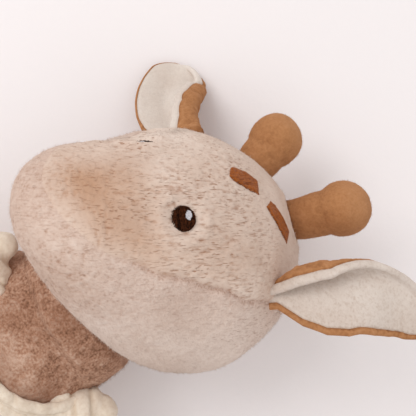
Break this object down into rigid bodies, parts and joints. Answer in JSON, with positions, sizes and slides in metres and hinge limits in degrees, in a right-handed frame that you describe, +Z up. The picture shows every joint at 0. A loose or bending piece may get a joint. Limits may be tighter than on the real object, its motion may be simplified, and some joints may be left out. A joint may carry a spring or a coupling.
{
  "type": "plush giraffe",
  "caption": "Stuffed giraffe lying on its back with its head turned: plush head with embroidered eyes, soft ears and horns, cotton romper, and limbs that swing.",
  "frame": {"origin": "middle of the toy's footprint on the surface that it lies on", "axes": "+Z up out of the surface, +Y from the feet to the head along the toy, +X to the toy's left hand"},
  "size_m": [0.2124, 0.4024, 0.1242],
  "materials": {
    "beige_plush": "short-pile plush, pinkish beige",
    "chest_plush": "curly plush, brown tan",
    "limb_plush": "short-pile plush, pinkish beige",
    "tan_plush": "short-pile plush, warm tan",
    "ear_lining": "short-pile plush, cream",
    "cream_cotton": "plain smooth cotton, cream",
    "rust_thread": "satin stitch, rust brown",
    "brown_thread": "satin stitch, dark brown",
    "white_thread": "satin stitch, greyish white",
    "tuft_plush": "long-pile plush, brown",
    "filling": "loose polyester filling, white"
  },
  "bodies": {
    "torso": {"body_cover": "chest_plush", "body_filling": "filling", "romper_body": "cream_cotton", "neckline_binding": "cream_cotton", "left_shoulder_tie": "cream_cotton", "right_shoulder_tie": "cream_cotton"},
    "neck": {"neck": "chest_plush"},
    "head": {"head_face_panel": "beige_plush", "head_jaw_panel": "beige_plush", "head_filling": "filling", "left_eye": "brown_thread", "left_eye_glint": "white_thread", "left_forehead_mark": "rust_thread", "left_ossicone": "tan_plush", "right_eye": "brown_thread", "right_eye_glint": "white_thread", "right_forehead_mark": "rust_thread", "right_ossicone": "tan_plush"},
    "left_ear": {"left_ear_back": "tan_plush", "left_ear_lining": "ear_lining"},
    "right_ear": {"right_ear_back": "tan_plush", "right_ear_lining": "ear_lining"},
    "left_arm": {"left_arm": "limb_plush", "left_front_hoof": "tan_plush"},
    "left_leg": {"left_leg": "limb_plush", "left_hind_hoof": "tan_plush", "left_trouser_leg": "cream_cotton"},
    "right_arm": {"right_arm": "limb_plush", "right_front_hoof": "tan_plush"},
    "right_leg": {"right_leg": "limb_plush", "right_hind_hoof": "tan_plush", "right_trouser_leg": "cream_cotton"},
    "tail": {"tail": "chest_plush", "tail_tuft": "tuft_plush"}
  },
  "joints": [
    {"name": "head_turn", "type": "hinge", "parent": "torso", "child": "neck", "pos_m": [0, 0.08232, 0.04536], "axis": [0, 1, 0], "range_deg": [-30, 60]},
    {"name": "head_nod", "type": "hinge", "parent": "neck", "child": "head", "pos_m": [0, 0.08232, 0.04536], "axis": [0.8554, 0, 0.518], "range_deg": [-15, 15]},
    {"name": "left_ear_fold", "type": "hinge", "parent": "head", "child": "left_ear", "pos_m": [0.0311, 0.14613, 0.07998], "axis": [-0.9302, 0.3672, 0], "range_deg": [-20, 20]},
    {"name": "right_ear_fold", "type": "hinge", "parent": "head", "child": "right_ear", "pos_m": [-0.04508, 0.14613, 0.03384], "axis": [0.1673, -0.9859, 0], "range_deg": [-20, 20]},
    {"name": "left_arm_swing", "type": "hinge", "parent": "torso", "child": "left_arm", "pos_m": [0.05435, 0.02632, 0.03695], "axis": [-1, 0, 0], "range_deg": [-25, 100]},
    {"name": "left_leg_swing", "type": "hinge", "parent": "torso", "child": "left_leg", "pos_m": [0.0189, -0.07965, 0.03401], "axis": [-1, 0, 0], "range_deg": [-10, 75]},
    {"name": "right_arm_swing", "type": "hinge", "parent": "torso", "child": "right_arm", "pos_m": [-0.05435, 0.02632, 0.03695], "axis": [-1, 0, 0], "range_deg": [-25, 100]},
    {"name": "right_leg_swing", "type": "hinge", "parent": "torso", "child": "right_leg", "pos_m": [-0.0189, -0.07965, 0.03401], "axis": [-1, 0, 0], "range_deg": [-10, 75]},
    {"name": "tail_swing", "type": "hinge", "parent": "torso", "child": "tail", "pos_m": [0, -0.06026, 0.01], "axis": [-1, 0, 0], "range_deg": [-45, 8]}
  ]
}
